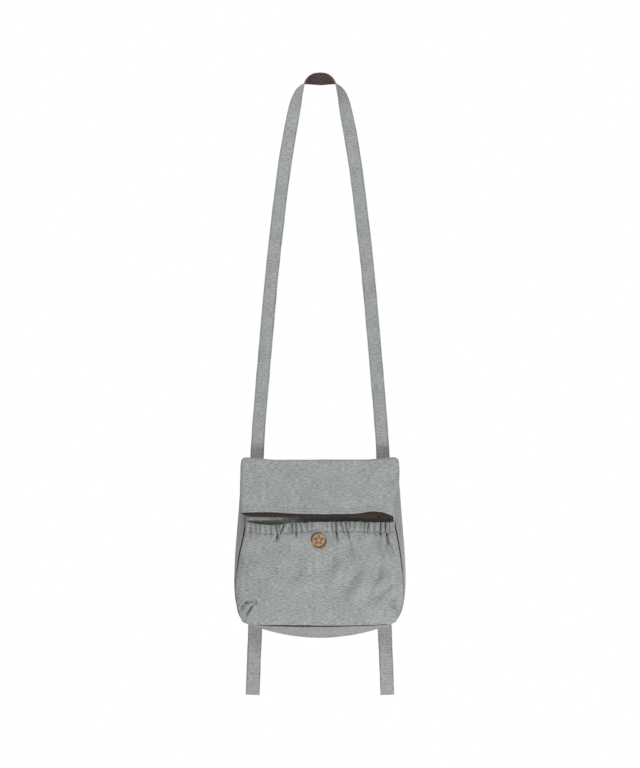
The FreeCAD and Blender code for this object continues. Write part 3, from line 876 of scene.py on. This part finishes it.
def pocket_relief(x, drop, below, inward, up):
    """How far the pocket's cloth stands in front of the front panel. below is the distance under its
    mouth, inward the distance from its sides and up the distance above its lower edge."""
    look = bpy.context.scene.carrier
    slow_reach = 26 + 20 * (x < 0)
    puff = (0.62 * np.sqrt(np.clip(1 - (1 - np.clip(inward / 9, 0, 1)) ** 2, 0, 1))
            + 0.38 * (1 - (1 - np.clip(inward / slow_reach, 0, 1)) ** 2))
    lift = step(up, 0, 1.2) * (0.62 + 0.38 * (1 - (1 - np.clip(up / 30, 0, 1)) ** 2))
    relief = smooth_value(drop, STAND_OFF) * puff * lift
    relief += (1.3 * bell(below, 6.5, 6.0) - 1.9 * bell(below, CASING, 1.1)) * puff
    folds = 0 * x
    for place, start, end, leans, width, depth in GATHERS:
        top = float(smooth_value(place, MOUTH))
        folds += crease(x, drop, (place, top + start - 2), (place + leans, top + end), width,
                        GATHER_DEPTH * depth)
    for start, end, width, depth in DRAPES:
        folds += crease(x, drop, start, end, width, DRAPE_DEPTH * depth)
    for a, b in zip(DENT[:-1], DENT[1:]):
        folds += crease(x, drop, a, b, DENT_WIDTH, DENT_DEPTH)
    ruffle = 0.55 * cloth_noise(x, 0.12 * drop, 3.6, 51) + 0.7 * cloth_noise(x, 0.1 * drop, 7.5, 52)
    puckers = 0.35 * cloth_noise(x, drop, 2.6, 53) * bell(below, CASING, 1.5)
    slow = 1.3 * cloth_noise(x, drop, 46, 54) + 0.8 * cloth_noise(x, drop, 21, 55)
    fine = 0.12 * cloth_noise(x, drop, 8, 56)
    sides = 0.30 * cloth_noise(0.3 * x, drop, 6, 57) * np.exp(-inward / 9)
    foot = 0.35 * cloth_noise(x, 0.4 * drop, 8, 58) * np.exp(-up / 7)
    inner = step(inward, 0, 9) * step(up, 0, 9)
    relief = relief + look.wrinkles * (
        (folds + (slow + fine) * step(below, 4, 30)) * inner
        + (ruffle * (1 - step(below, 6, 26)) + puckers) * step(inward, 0, 5)
        + sides * step(inward, 0, 4) + foot * step(up, 0, 4))
    # Under the button the cloth is drawn flat against it.
    away = np.hypot(x - BUTTON_X, FOLD_Z - drop - BUTTON_Z)
    flat = 1 - step(away, BUTTON_RADIUS - 1, BUTTON_RADIUS + 7)
    pressed = 3.2 * bell(away, BUTTON_RADIUS + 0.2, 1.2)
    return relief * (1 - flat) + (front_face_y(drop) - BUTTON_HIGH[1] - 0.1) * flat - pressed


def pocket_grid():
    """The pocket's outer face with its mouth turned in, and its pattern."""
    plane = pocket_plane()
    x, drop = plane[..., 0], plane[..., 1]
    below = drop - smooth_value(x[:, -1], MOUTH)[:, None]
    left, right = pocket_side(-1, 60), pocket_side(1, 60)
    left_x = np.interp(drop, left[::-1, 1], left[::-1, 0])
    right_x = np.interp(drop, right[::-1, 1], right[::-1, 0])
    inward = np.maximum(np.minimum(x - left_x, right_x - x), 0)
    up = np.maximum(np.interp(x, *pocket_bottom(200).T) - drop, 0)
    relief = pocket_relief(x, drop, below, inward, up)
    frill = 0.5 * cloth_noise(x, 0 * x, 3.1, 61) + 0.6 * cloth_noise(x, 0 * x, 6.4, 62)
    z = FOLD_Z - drop + frill * (1 - step(below, 0, 9))
    # The cloth bellies out over its side and bottom seams.
    sideways = 1.9 * bell(inward, 2.2, 2.4) * step(inward, 0, 1.0) * np.sign(x) * (abs(x) > 60)
    downwards = 2.6 * bell(up, 1.6, 2.6) * step(up, 0, 1.0)
    tuck = 1.2 * (bell(inward, 0, 0.9) + bell(up, 0, 0.9))
    outer = np.stack([x + sideways, front_face_y(drop) - 0.3 - relief + tuck, z - downwards], -1)
    pattern = np.stack([x, -drop], -1)
    # The mouth turns over a soft edge and runs down inside as the back of the casing.
    top, top_pattern = outer[:, -1], pattern[:, -1]
    turned, turned_pattern = [], []
    roll = 1.6
    for angle in np.linspace(0, np.pi, 8)[1:]:
        turned.append(top + np.array([0, (1 - math.cos(angle)) * roll, math.sin(angle) * roll]))
        turned_pattern.append(top_pattern + (0, roll * angle))
    for fall in np.linspace(1.5, 14, 8):
        inside = turned[6] - np.array([0, 0, fall])
        follow = np.array([np.interp(fall, (outer[u, -1, 2] - outer[u, ::-1, 2]), outer[u, ::-1, 1])
                           for u in range(POCKET_WIDE)])
        inside[:, 1] = follow + 2 * roll * (1 - 0.35 * fall / 14)
        limit = front_face_y(FOLD_Z - inside[:, 2]) - 0.2
        inside[:, 1] = np.minimum(inside[:, 1], limit)
        turned.append(inside)
        turned_pattern.append(top_pattern + (0, roll * np.pi + fall))
    grid = np.concatenate([outer, np.stack(turned, 1)], 1)
    return grid, np.concatenate([pattern, np.stack(turned_pattern, 1)], 1)


# ---- the neck strap ------------------------------------------------------------------------------
STRAP_HALF = 10.0
STRAP_THICK = 1.15
STITCH_OUT = STRAP_THICK - 0.1      # from the middle of a strap or tail to its stitches
STRAP_X = STRAP_SEWN_HIGH[0] - STRAP_HALF
# Left half of the strap's middle line, as (x, z, turn): turn is how far its grey face has turned away
# from the front, in degrees.
STRAP_LINE = [
    (-STRAP_X, STRAP_SEWN_LOW[2], 0), (-STRAP_X, -575.0, 0), (-94.2, -553.0, 0), (-91.0, -502.5, 0),
    (-81.0, -382.5, 0), (-70.0, -262.5, 0), (-56.0, -142.5, 0), (-46.5, -79.5, 4),
    (-38.6, -37.5, 22), (-34.5, -19.5, 41), (-29.8, -7.5, 60), (-24.0, 1.5, 88), (-16.5, 6.3, 122),
    (-8.5, 8.9, 148), (0.0, 9.4, 160),
]
STRAP_ROWS = 260            # of points from each end to the middle
EDGE_SEAM = 1.6             # from an edge to the stitches beside it
BOX_SEAM = (7.2, 5.5)       # half width and half height of the stitched box on a sewn end
BOX_MARGIN = 2.0            # from the sewn end to its box


def turned_frame(along, turn):
    """(normal out of the grey face, direction across to the inner edge) for a tangent in XZ."""
    angle = -np.radians(turn)[:, None]
    front = np.array([0.0, -1.0, 0.0])
    side = np.stack([along[:, 2], 0 * along[:, 0], -along[:, 0]], 1)
    normal = front * np.cos(angle) + side * np.sin(angle)
    return normal, np.cross(along, normal)


def strap_frames():
    """(middle, normal, across) all along the strap, from its left end over its top to its right end."""
    line = even_line(STRAP_LINE, STRAP_ROWS)
    middle = np.stack([line[:, 0], 0 * line[:, 0], line[:, 1]], 1)
    along = unit(np.gradient(middle, axis=0))
    along[-1] = (1, 0, 0)
    normal, across = turned_frame(along, line[:, 2])
    whole = []
    for part in (middle, normal, across):
        whole.append(np.vstack([part, (part * (-1, 1, 1))[-2::-1]]))
    return whole


def band_profile(half, thick, wrap):
    """(across, out) of a flat band's face: rounded at both edges, wrapped a little round them, and
    drawn in along the stitches beside each edge."""
    inner = np.linspace(-half + thick, half - thick, 27)
    out = thick - 0.22 * (bell(abs(inner), half - EDGE_SEAM, 0.7))
    turn = np.radians([78, 56, 34, 14])
    edge_a, edge_o = half - thick + thick * np.sin(turn), thick * np.cos(turn)
    edge_a, edge_o = np.append(half, edge_a), np.append(-wrap, edge_o)
    a = np.concatenate([-edge_a, inner, edge_a[::-1]])
    o = np.concatenate([edge_o, out, edge_o[::-1]])
    return a, o


def band_sheets(middle, normal, across, along, half, wobble_seed):
    """The grey cloth and the lining of a flat band that turns as it runs, as two Cloths."""
    face, lining = Cloth(), Cloth()
    for cloth, side, wide, thick, wrap, deep in (
        (face, 1, half, STRAP_THICK, 0.55, 1.0),
        (lining, -1, half - 0.55, STRAP_THICK - 0.1, -0.35, 0.55),
    ):
        a, o = band_profile(wide, thick, wrap)
        s = along[:, None] + 0 * a[None]
        waver = 0.28 * cloth_noise(s, 12 * np.sign(a)[None], 19, wobble_seed)
        lift = 0.22 * cloth_noise(s, a[None] * 1.2, 14, wobble_seed + 1) * (abs(a) < wide - 1)[None]
        grid = (middle[:, None] + across[:, None] * (a[None] * (1 + waver / half))[..., None]
                + normal[:, None] * (side * (o[None] + lift * (side > 0)))[..., None])
        pattern = np.stack([a[None] + 0 * s, s], -1)
        thickness = np.broadcast_to(np.where(abs(a) > wide - thick, 0.4, deep)[None], s.shape)
        if side > 0:
            grid, pattern, thickness = grid[:, ::-1], pattern[:, ::-1], thickness[:, ::-1]
        cloth.sheet(grid, pattern, thickness)
    return face, lining


def box_seam(thread, place):
    """Sews a box of stitches with a cross in it round a place, on the back of the carrier."""
    wide, high = BOX_SEAM
    count = 14
    corners = [(-wide, -high), (wide, -high), (wide, high), (-wide, high)]
    for a, b in ((0, 1), (1, 2), (2, 3), (3, 0), (0, 2), (1, 3)):
        line = np.linspace(corners[a], corners[b], count)
        line = np.stack([place[0] + line[:, 0], np.full(count, place[1]), place[2] + line[:, 1]], 1)
        sew(thread, line, np.tile((0.0, 1.0, 0.0), (count, 1)))


def band_seam(middle, normal, across, offset):
    """A seam line along a band at that distance across it, and its normals."""
    return middle + across * offset + normal * STITCH_OUT, normal


# ---- the waist tails -----------------------------------------------------------------------------
TAIL_HALF = 10.5
TAIL_TOP = TAIL_SEWN_HIGH[2] - TAIL_HINGE_Z
TAIL_LENGTH = TAIL_HINGE_Z - TAIL_LOW[2]
TAIL_FLARE = TAIL_HIGH[0] - TAIL_HALF - JOINT["right_tail_swing"][0]
TAIL_CROSS_SEAM = 31.0      # from the end of a tail to the seam across it


def tail_frames(side, rows):
    """(middle, normal, across, along) down a tail, from its sewn top to its end. side is -1 or 1."""
    t = np.linspace(-TAIL_TOP, TAIL_LENGTH, rows)
    x = side * (JOINT["right_tail_swing"][0] + TAIL_FLARE * t / TAIL_LENGTH)
    middle = np.stack([x, 0 * t, TAIL_HINGE_Z - t], 1)
    along = unit(np.gradient(middle, axis=0))
    normal = np.tile((0.0, -1.0, 0.0), (rows, 1))
    return middle, normal, np.cross(along, normal), t


# ---- helpers shared by the pieces ----------------------------------------------------------------
def at(x, y, z):
    """A point of the frame, in metres."""
    return (x * MM, y * MM, z * MM)


def bend_at_fold(piece):
    """Bakes the piece's place into its mesh. Two points by the fold are worked out and not used."""
    at(0, BACK_Y - 2.2, FOLD_Z)
    at(0, FOLD_Y - 0.6, FOLD_Z)
    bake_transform(piece)


def bend_at_strap(piece):
    at(0, 0, STRAP_HINGE_Z + 12)
    at(0, 0, STRAP_HINGE_Z - 2)
    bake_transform(piece)


def bend_at_tail(piece):
    at(0, 0, TAIL_HINGE_Z + 2)
    at(0, 0, TAIL_HINGE_Z - 12)
    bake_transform(piece)


# ---- settings ------------------------------------------------------------------------------------
def colour_setting(name, description, value):
    return bpy.props.FloatVectorProperty(name=name, description=description, subtype="COLOR", size=3,
                                         min=0.0, max=1.0, default=value)


def length_setting(name, description, millimetres):
    return bpy.props.FloatProperty(name=name, description=description, unit="LENGTH", min=0.0,
                                   default=millimetres * MM, precision=5)


class CarrierLook(bpy.types.PropertyGroup):
    """Sizes and colours that a user would change."""

    jersey_light: colour_setting("Light fibres", "The jersey's paler fibres", (0.352, 0.369, 0.359))
    jersey_dark: colour_setting("Dark fibres", "The jersey's darker fibres", (0.166, 0.176, 0.171))
    print_brown: colour_setting("Lining", "Ground of the printed lining", (0.063, 0.043, 0.035))
    print_dot: colour_setting("Dots", "Dots of the printed lining", (0.017, 0.013, 0.012))
    # Painted shade: the thread's grey is darkened with the shade of its stitch holes; the button's pale
    # thread lifts it back to the thread's own grey.
    shade_darkened_thread_grey: colour_setting("Thread", "Sewing thread", (0.058, 0.061, 0.060))
    wood: colour_setting("Wood", "The button's wood", (0.372, 0.206, 0.100))
    wood_burnt: colour_setting("Scorched wood", "The engraved star", (0.075, 0.038, 0.02))
    tape_grey: colour_setting("Tape", "Hook and loop patches", (0.30, 0.31, 0.31))
    knit_wale: length_setting("Wale", "Width of one column of knit stitches", 1.25)
    knit_course: length_setting("Course", "Height of one row of knit stitches", 0.95)
    dot_pitch: length_setting("Dot pitch", "Between the dots of one row", 7.8)
    dot_row: length_setting("Dot rows", "Between two rows of dots", 3.65)
    dot_size: length_setting("Dot size", "Diameter of a dot", 2.3)
    stitch_pitch: length_setting("Stitch pitch", "From one stitch to the next", 3.6)
    stitch_length: length_setting("Stitch length", "Length of a stitch on the face", 2.7)
    wrinkles: bpy.props.FloatProperty(name="Wrinkles", description="Strength of the pocket's folds",
                                      min=0.0, max=3.0, default=1.5)


class CarrierStep(bpy.types.Operator):
    """One step of making the carrier"""

    bl_options = {"REGISTER", "UNDO"}

    def execute(self, context):
        self.make(context)
        return {"FINISHED"}


class MakeBody(CarrierStep):
    """Makes the back panel, the fold and the cuff, which are one cloth, and their lining"""

    bl_idname = "carrier.make_body"
    bl_label = "Back, fold and cuff"

    def make(self, context):
        jersey = body_cloth(0.0, JERSEY, JERSEY_HEM).make("body_jersey", "jersey")
        bend_at_fold(jersey)
        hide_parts("back_panel", "fold_roll", "cuff_shell")
        lining = body_cloth(JERSEY + 0.04, LINING, LINING_HEM).make("body_lining", "print")
        bend_at_fold(lining)
        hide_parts("back_lining", "fold_roll_lining", "cuff_lining")


class MakeGusset(CarrierStep):
    """Makes the strip that joins the back to the front, and its lining"""

    bl_idname = "carrier.make_gusset"
    bl_label = "Gusset"

    def make(self, context):
        for name, finish, inset, thick, node in (
            ("gusset_jersey", "jersey", 0.0, JERSEY, "side_gusset"),
            ("gusset_print", "print", JERSEY + LINING_GAP, LINING, "gusset_lining"),
        ):
            cloth = Cloth()
            cloth.sheet(*gusset_grid(inset), thick)
            piece = cloth.make(name, finish)
            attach(piece, "bag")
            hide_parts(node)


class MakeFront(CarrierStep):
    """Makes the front panel and its lining"""

    bl_idname = "carrier.make_front"
    bl_label = "Front panel"

    def make(self, context):
        for name, finish, inset, thick, node in (
            ("front_jersey", "jersey", 0.0, JERSEY, "front_panel"),
            ("front_print", "print", JERSEY + LINING_GAP, LINING, "front_lining"),
        ):
            cloth = Cloth()
            cloth.sheet(*front_grid(inset), thick)
            piece = cloth.make(name, finish)
            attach(piece, "bag")
            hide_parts(node)


class MakePocket(CarrierStep):
    """Makes the gathered pocket, its elastic and its stitched casing"""

    bl_idname = "carrier.make_pocket"
    bl_label = "Pocket"

    def make(self, context):
        grid, pattern = pocket_grid()
        cloth = Cloth()
        cloth.sheet(grid, pattern, JERSEY - 0.1)
        pocket = cloth.make("pocket_jersey", "jersey")
        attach(pocket, "bag")
        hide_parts("front_pocket")
        outer = grid[6:-6, :POCKET_HIGH]
        mouth = outer[:, -1, 2]
        falls = np.linspace(*ELASTIC_SPAN, ELASTIC_ROWS)
        band = np.stack([read_line(outer, mouth - fall)[0] for fall in falls], 1)
        # The elastic runs behind the gathers and doesn't follow them.
        box = np.ones(ELASTIC_REACH) / ELASTIC_REACH
        for column in range(band.shape[1]):
            ends = np.pad(band[:, column, 1], ELASTIC_REACH // 2, mode="edge")
            deepest = np.max([ends[k:k + len(band)] for k in range(ELASTIC_REACH)], axis=0)
            ends = np.pad(deepest, ELASTIC_REACH // 2, mode="edge")
            band[:, column, 1] = np.convolve(ends, box, mode="valid") + 0.9
        elastic = Cloth()
        run = np.broadcast_to(lengths_along(band[:, 0])[:, None], band.shape[:2])
        rise = np.broadcast_to((ELASTIC_SPAN[0] - falls)[None], band.shape[:2])
        elastic.sheet(band, np.stack([run, rise], -1), 0.7)
        piece = elastic.make("casing_elastic", "elastic")
        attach(piece, "bag")
        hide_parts("pocket_elastic")
        thread = Cloth()
        wobble = 0.9 * cloth_noise(outer[:, -1, 0], 0 * mouth, 17, 71)
        sew(thread, *read_line(outer, mouth - CASING + wobble))
        seam = thread.make("casing_stitches", "thread")
        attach(seam, "bag")


class MakeButton(CarrierStep):
    """Finishes the star button and sews it on"""

    bl_idname = "carrier.make_button"
    bl_label = "Star button"

    def make(self, context):
        finish_node("star_button", "button_wood")
        low, high = node_box("button_thread")
        thread = Cloth()
        sides, count, radius = 8, 15, 0.34
        turn = np.linspace(0, 2 * np.pi, sides, endpoint=False)
        share = np.linspace(0, 1, count)
        for k, lift in enumerate((-0.5, 0.0, 0.5)):
            x = low[0] + 0.55 + (high[0] - low[0] - 1.1) * share
            bow = np.sin(np.pi * share) ** 0.4
            y = high[1] - 0.2 + (low[1] + 0.45 - high[1] + 0.2) * bow
            z = (low[2] + high[2]) / 2 + lift * (0.4 + 0.6 * np.sin(np.pi * share)) + 0.05 * k
            middle = np.stack([x, y, z], 1)
            along = unit(np.gradient(middle, axis=0))
            side = np.tile((0.0, 0.0, 1.0), (count, 1))
            up = np.cross(side, along)
            ring = (middle + side * (radius * np.cos(turn))[:, None, None]
                    + up * (radius * np.sin(turn))[:, None, None])
            where = np.stack(np.broadcast_arrays(6 * share, (turn * 0.3)[:, None]), -1)
            thread.thicken(ring, grid_quads(sides, count, True), where, 0.2, edge=0.0)
        piece = thread.make("button_stitch", "pale_thread", "thread")
        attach(piece, "bag")
        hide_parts("button_thread")


class MakeStrap(CarrierStep):
    """Makes the neck strap, from one sewn end over its top to the other"""

    bl_idname = "carrier.make_strap"
    bl_label = "Neck strap"

    def make(self, context):
        middle, normal, across = strap_frames()
        along = lengths_along(middle)
        face, lining = band_sheets(middle, normal, across, along, STRAP_HALF, 81)
        piece = face.make("strap_jersey", "jersey")
        bend_at_strap(piece)
        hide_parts("strap_face", "strap_sewn_face")
        piece = lining.make("strap_print", "print")
        bend_at_strap(piece)
        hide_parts("strap_lining", "strap_sewn_lining")
        thread = Cloth()
        for offset in (STRAP_HALF - EDGE_SEAM, EDGE_SEAM - STRAP_HALF):
            sew(thread, *band_seam(middle, normal, across, offset))
            back_line = middle + across * offset - normal * STITCH_OUT
            sew(thread, back_line, -normal, start=0.9)
        for end in (0, -1):
            box_seam(thread, middle[end] + (0, STITCH_OUT, BOX_SEAM[1] + BOX_MARGIN))
        bend_at_strap(thread.make("strap_stitches", "thread"))


class MakeTails(CarrierStep):
    """Makes the two waist tails and finishes their fastening patches"""

    bl_idname = "carrier.make_tails"
    bl_label = "Waist tails"

    def make(self, context):
        for side, word in ((-1, "left"), (1, "right")):
            middle, normal, across, along = tail_frames(side, 70)
            face, lining = band_sheets(middle, normal, across, along, TAIL_HALF, 85 + side)
            body = word + "_tail"
            piece = face.make(body + "_jersey", "jersey")
            bend_at_tail(piece)
            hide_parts(body + "_face", "tail_sewn_face")
            piece = lining.make(body + "_print", "print")
            bend_at_tail(piece)
            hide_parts(body + "_lining", "tail_sewn_lining")
            thread = Cloth()
            for offset in (TAIL_HALF - EDGE_SEAM, EDGE_SEAM - TAIL_HALF):
                sew(thread, *band_seam(middle, normal, across, offset))
            row = int(np.argmin(abs(along - (TAIL_LENGTH - TAIL_CROSS_SEAM))))
            reach = np.linspace(-TAIL_HALF + 1, TAIL_HALF - 1, 12)[:, None]
            line = middle[row] + across[row] * reach + (0, -STRAP_THICK, 0)
            sew(thread, line, np.tile(normal[row], (len(line), 1)))
            box_seam(thread, middle[0] + (0, STITCH_OUT, -BOX_SEAM[1] - BOX_MARGIN))
            bend_at_tail(thread.make(body + "_stitches", "thread"))
        for node in ("left_hook_patch", "right_loop_patch"):
            finish_node(node, "hook_tape")


class MakeHem(CarrierStep):
    """Sews the two rows above the cuff's hem"""

    bl_idname = "carrier.make_hem"
    bl_label = "Hem stitches"

    def make(self, context):
        grid = cuff_grid(0.0, JERSEY_HEM)[0][:, :CUFF_POINTS - 1]
        near = grid[2:FLAT_POINTS - 2]
        far = grid[FLAT_POINTS + END_POINTS + 2:2 * FLAT_POINTS + END_POINTS - 2]
        thread = Cloth()
        for side in (near, far):
            for row in HEM_ROWS:
                sew(thread, *read_line(side, side[:, 0, 2] + row))
        piece = thread.make("hem_stitches", "thread")
        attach(piece, "cuff")


AMBIENT = 0.50              # strength of the white studio round the carrier
# Each lamp's name, place and target in metres, size in metres and power in watts.
LAMPS = (
    ("low_key_light", (0.75, -1.20, -1.70), (0.0, 0.0, -0.70), 0.45, 23.0),
    ("top_light", (-0.5, -1.0, 0.55), (0.0, 0.0, -0.10), 0.5, 12.0),
    ("back_light", (0.7, 2.2, -0.1), (0.0, 0.0, -0.60), 1.5, 30.0),
)
FLOOR_Z, FLOOR_RADIUS, FLOOR_SIDES = -1.95, 2.6, 64
EYE_DISTANCE, EYE_Z = 9.0, -0.4485
SENSOR, VIEW_HEIGHT = 36.0, 1.152       # of the camera in mm, and of what it sees in metres


class MakeStage(CarrierStep):
    """Makes the floor, the studio light and the camera"""

    bl_idname = "carrier.make_stage"
    bl_label = "Studio"

    def make(self, context):
        scene = context.scene
        floor = bpy.data.meshes.new("floor")
        turn = np.linspace(0, 2 * np.pi, FLOOR_SIDES + 1)[:-1]
        edge = [(FLOOR_RADIUS * math.cos(a), FLOOR_RADIUS * math.sin(a), FLOOR_Z) for a in turn]
        floor.from_pydata(edge, [], [tuple(range(FLOOR_SIDES))])
        shader = Shader("pale_floor", 0.8)
        place = shader.node("ShaderNodeTexCoord", {}, output="Object")
        grain = shader.noise(place, 40.0)
        floor.materials.append(shader.finish(
            shader.mix(grain, (0.50, 0.50, 0.49, 1.0), (0.54, 0.54, 0.53, 1.0)), grain, 0.3 * MM))
        floor = bpy.data.objects.new("floor", floor)
        scene.collection.objects.link(floor)
        world = bpy.data.worlds.new("studio")
        world.use_nodes = True
        nodes, links = world.node_tree.nodes, world.node_tree.links
        nodes["Background"].inputs["Color"].default_value = (1.0, 1.0, 1.0, 1.0)
        path = nodes.new("ShaderNodeLightPath")
        strength = nodes.new("ShaderNodeMath")
        strength.operation = "MULTIPLY_ADD"
        links.new(path.outputs["Is Camera Ray"], strength.inputs[0])
        strength.inputs[1].default_value = 1.0 - AMBIENT
        strength.inputs[2].default_value = AMBIENT
        links.new(strength.outputs[0], nodes["Background"].inputs["Strength"])
        scene.world = world
        scene.view_settings.view_transform = "Standard"
        for name, place, target, size, power in LAMPS:
            light = bpy.data.lights.new(name, "AREA")
            light.size = size
            light.energy = power
            lamp = bpy.data.objects.new(name, light)
            lamp.location = place
            aim = Vector(target) - Vector(place)
            lamp.rotation_euler = aim.to_track_quat("-Z", "Y").to_euler()
            scene.collection.objects.link(lamp)
        camera = bpy.data.cameras.new("camera")
        camera.lens = SENSOR * EYE_DISTANCE / VIEW_HEIGHT
        camera.clip_end = 50.0
        eye = bpy.data.objects.new("camera", camera)
        eye.location = (0.0, -EYE_DISTANCE, EYE_Z)
        eye.rotation_euler = (math.pi / 2, 0.0, 0.0)
        scene.collection.objects.link(eye)
        scene.camera = eye


class CarrierPanel(bpy.types.Panel):
    """Lists the steps of making the carrier"""

    bl_idname = "VIEW3D_PT_carrier"
    bl_label = "Doll carrier"
    bl_space_type = "VIEW_3D"
    bl_region_type = "UI"
    bl_category = "Carrier"

    def draw(self, context):
        look = context.scene.carrier
        for name in CarrierLook.__annotations__:
            self.layout.prop(look, name)
        for step_class in STEPS:
            self.layout.operator(step_class.bl_idname)


STEPS = (
    MakeBody, MakeGusset, MakeFront, MakePocket, MakeButton, MakeStrap, MakeTails, MakeHem,
    MakeStage,
)
CLASSES = (CarrierLook, *STEPS, CarrierPanel)


def register():
    for cls in CLASSES:
        bpy.utils.register_class(cls)
    bpy.types.Scene.carrier = bpy.props.PointerProperty(type=CarrierLook)


def unregister():
    del bpy.types.Scene.carrier
    for cls in reversed(CLASSES):
        bpy.utils.unregister_class(cls)


def main():
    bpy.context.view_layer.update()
    register()
    for step_class in STEPS:
        group, name = step_class.bl_idname.split(".")
        if getattr(getattr(bpy.ops, group), name)() != {"FINISHED"}:
            raise RuntimeError(step_class.bl_label + " could not be made")


if __name__ == "__main__":
    main()
